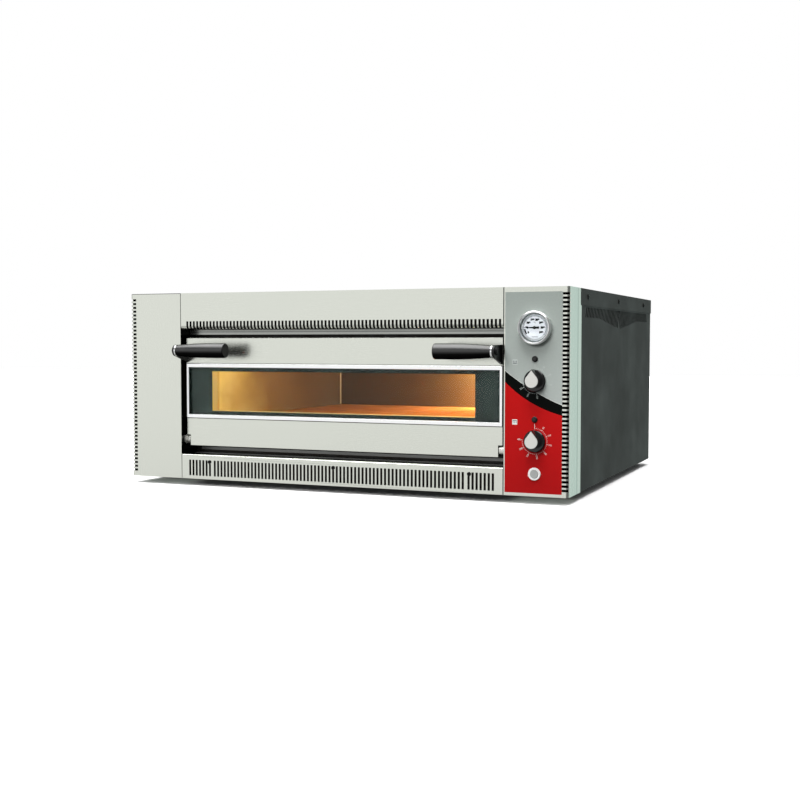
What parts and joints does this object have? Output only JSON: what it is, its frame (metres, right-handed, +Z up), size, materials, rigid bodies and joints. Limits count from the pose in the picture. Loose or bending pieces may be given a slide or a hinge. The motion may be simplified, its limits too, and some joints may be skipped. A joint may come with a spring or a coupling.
{
  "type": "deck oven",
  "caption": "Electric deck oven with a wide low baking chamber, a drop-down glass door with handles, and a control column at the right.",
  "frame": {"origin": "under the middle of the whole part, on the surface its feet stand on", "axes": "+X to the right as seen from the front, +Y back into the oven, +Z up"},
  "size_m": [0.9904, 0.8874, 0.415],
  "materials": {
    "stainless": "satin brushed stainless steel",
    "galvanised_sheet": "dull galvanised sheet",
    "dark_paint": "dark grey semi-gloss paint",
    "overlay_print": "printed polycarbonate sheet",
    "black_rubber": "matt black rubber",
    "black_screws": "black oxide",
    "black_plastic": "moulded black plastic",
    "mouth_steel": "dull steel",
    "seal_rope": "woven glass rope",
    "chamber_steel": "heat-tinted aluminised steel",
    "refractory": "matt refractory tile",
    "heater_steel": "oxidised heater sheath",
    "terminal_ceramic": "white ceramic",
    "mineral_wool": "mineral wool",
    "lamp_glass": "clear glass",
    "bright_steel": "polished steel",
    "spring_steel": "spring wire",
    "dial_print": "white printed disc",
    "gauge_glass": "clear lens",
    "pilot_lens": "dark signal lens",
    "button_ring": "white plastic",
    "bright_trim": "bright stainless",
    "mask_enamel": "dark enamel",
    "door_glass": "clear tempered glass",
    "handle_plastic": "black satin plastic",
    "needle_paint": "black paint",
    "knob_plastic": "black satin plastic",
    "knob_silver": "silver plate",
    "button_grey": "light grey plastic"
  },
  "bodies": {
    "chassis": {"base_pan": "galvanised_sheet", "feet": "black_rubber", "left_front_panel": "stainless", "control_panel": "stainless", "control_overlay": "overlay_print", "top_fascia": "stainless", "lower_grille": "stainless", "case_screws": "black_screws", "left_side_panel": "dark_paint", "right_side_panel": "dark_paint", "roof_cover": "dark_paint", "rear_panel": "dark_paint", "cable_gland": "black_plastic", "mouth_frame": "mouth_steel", "door_seal": "seal_rope", "chamber_shell": "chamber_steel", "hearth_stones": "refractory", "stone_rails": "mouth_steel", "upper_heaters": "heater_steel", "lower_heaters": "heater_steel", "heater_terminals": "terminal_ceramic", "insulation_top": "mineral_wool", "insulation_bottom": "mineral_wool", "insulation_walls": "mineral_wool", "service_partition": "galvanised_sheet", "lamp_housing": "mouth_steel", "lamp_bulb": "lamp_glass", "lamp_lens": "lamp_glass", "sensor_probes": "heater_steel", "hinge_bushings": "bright_steel", "hinge_brackets": "mouth_steel", "spring_seats": "mouth_steel", "door_springs": "spring_steel", "gauge_case": "bright_steel", "gauge_dial": "dial_print", "gauge_lens": "gauge_glass", "thermostats": "black_plastic", "pilot_lamps": "pilot_lens", "light_button_ring": "button_ring", "terminal_block": "black_plastic"},
    "door": {"door_upper_panel": "stainless", "door_lower_panel": "stainless", "window_trim": "bright_trim", "window_mask": "mask_enamel", "outer_glass": "door_glass", "inner_glass": "door_glass", "door_inner_panel": "mask_enamel", "door_insulation": "mineral_wool", "handle_brackets": "handle_plastic", "handle_grips": "handle_plastic", "handle_bolts": "black_screws", "handle_collars": "bright_steel", "hinge_pins": "bright_steel", "spring_cranks": "mouth_steel"},
    "thermometer_needle": {"gauge_needle": "needle_paint"},
    "upper_knob": {"knob_upper": "knob_plastic", "knob_upper_insert": "knob_silver"},
    "lower_knob": {"knob_lower": "knob_plastic", "knob_lower_insert": "knob_silver"},
    "lamp_button": {"light_button": "button_grey"}
  },
  "joints": [
    {"name": "door_hinge", "type": "hinge", "parent": "chassis", "child": "door", "pos_m": [0, -0.37425, 0.099], "axis": [1, 0, 0], "range_deg": [0, 90], "deforming": ["door_springs"]},
    {"name": "needle_turn", "type": "hinge", "parent": "chassis", "child": "thermometer_needle", "pos_m": [0.4265, -0.40025, 0.3373], "axis": [0, 1, 0], "range_deg": [-45, 225]},
    {"name": "upper_knob_turn", "type": "hinge", "parent": "chassis", "child": "upper_knob", "pos_m": [0.4265, -0.39625, 0.2365], "axis": [0, 1, 0], "range_deg": [0, 275]},
    {"name": "lower_knob_turn", "type": "hinge", "parent": "chassis", "child": "lower_knob", "pos_m": [0.4265, -0.39625, 0.1213], "axis": [0, 1, 0], "range_deg": [0, 275]},
    {"name": "lamp_button_press", "type": "slide", "parent": "chassis", "child": "lamp_button", "axis": [0, 1, 0], "range_m": [0, 0.003], "stiffness_N_per_m": 400}
  ]
}
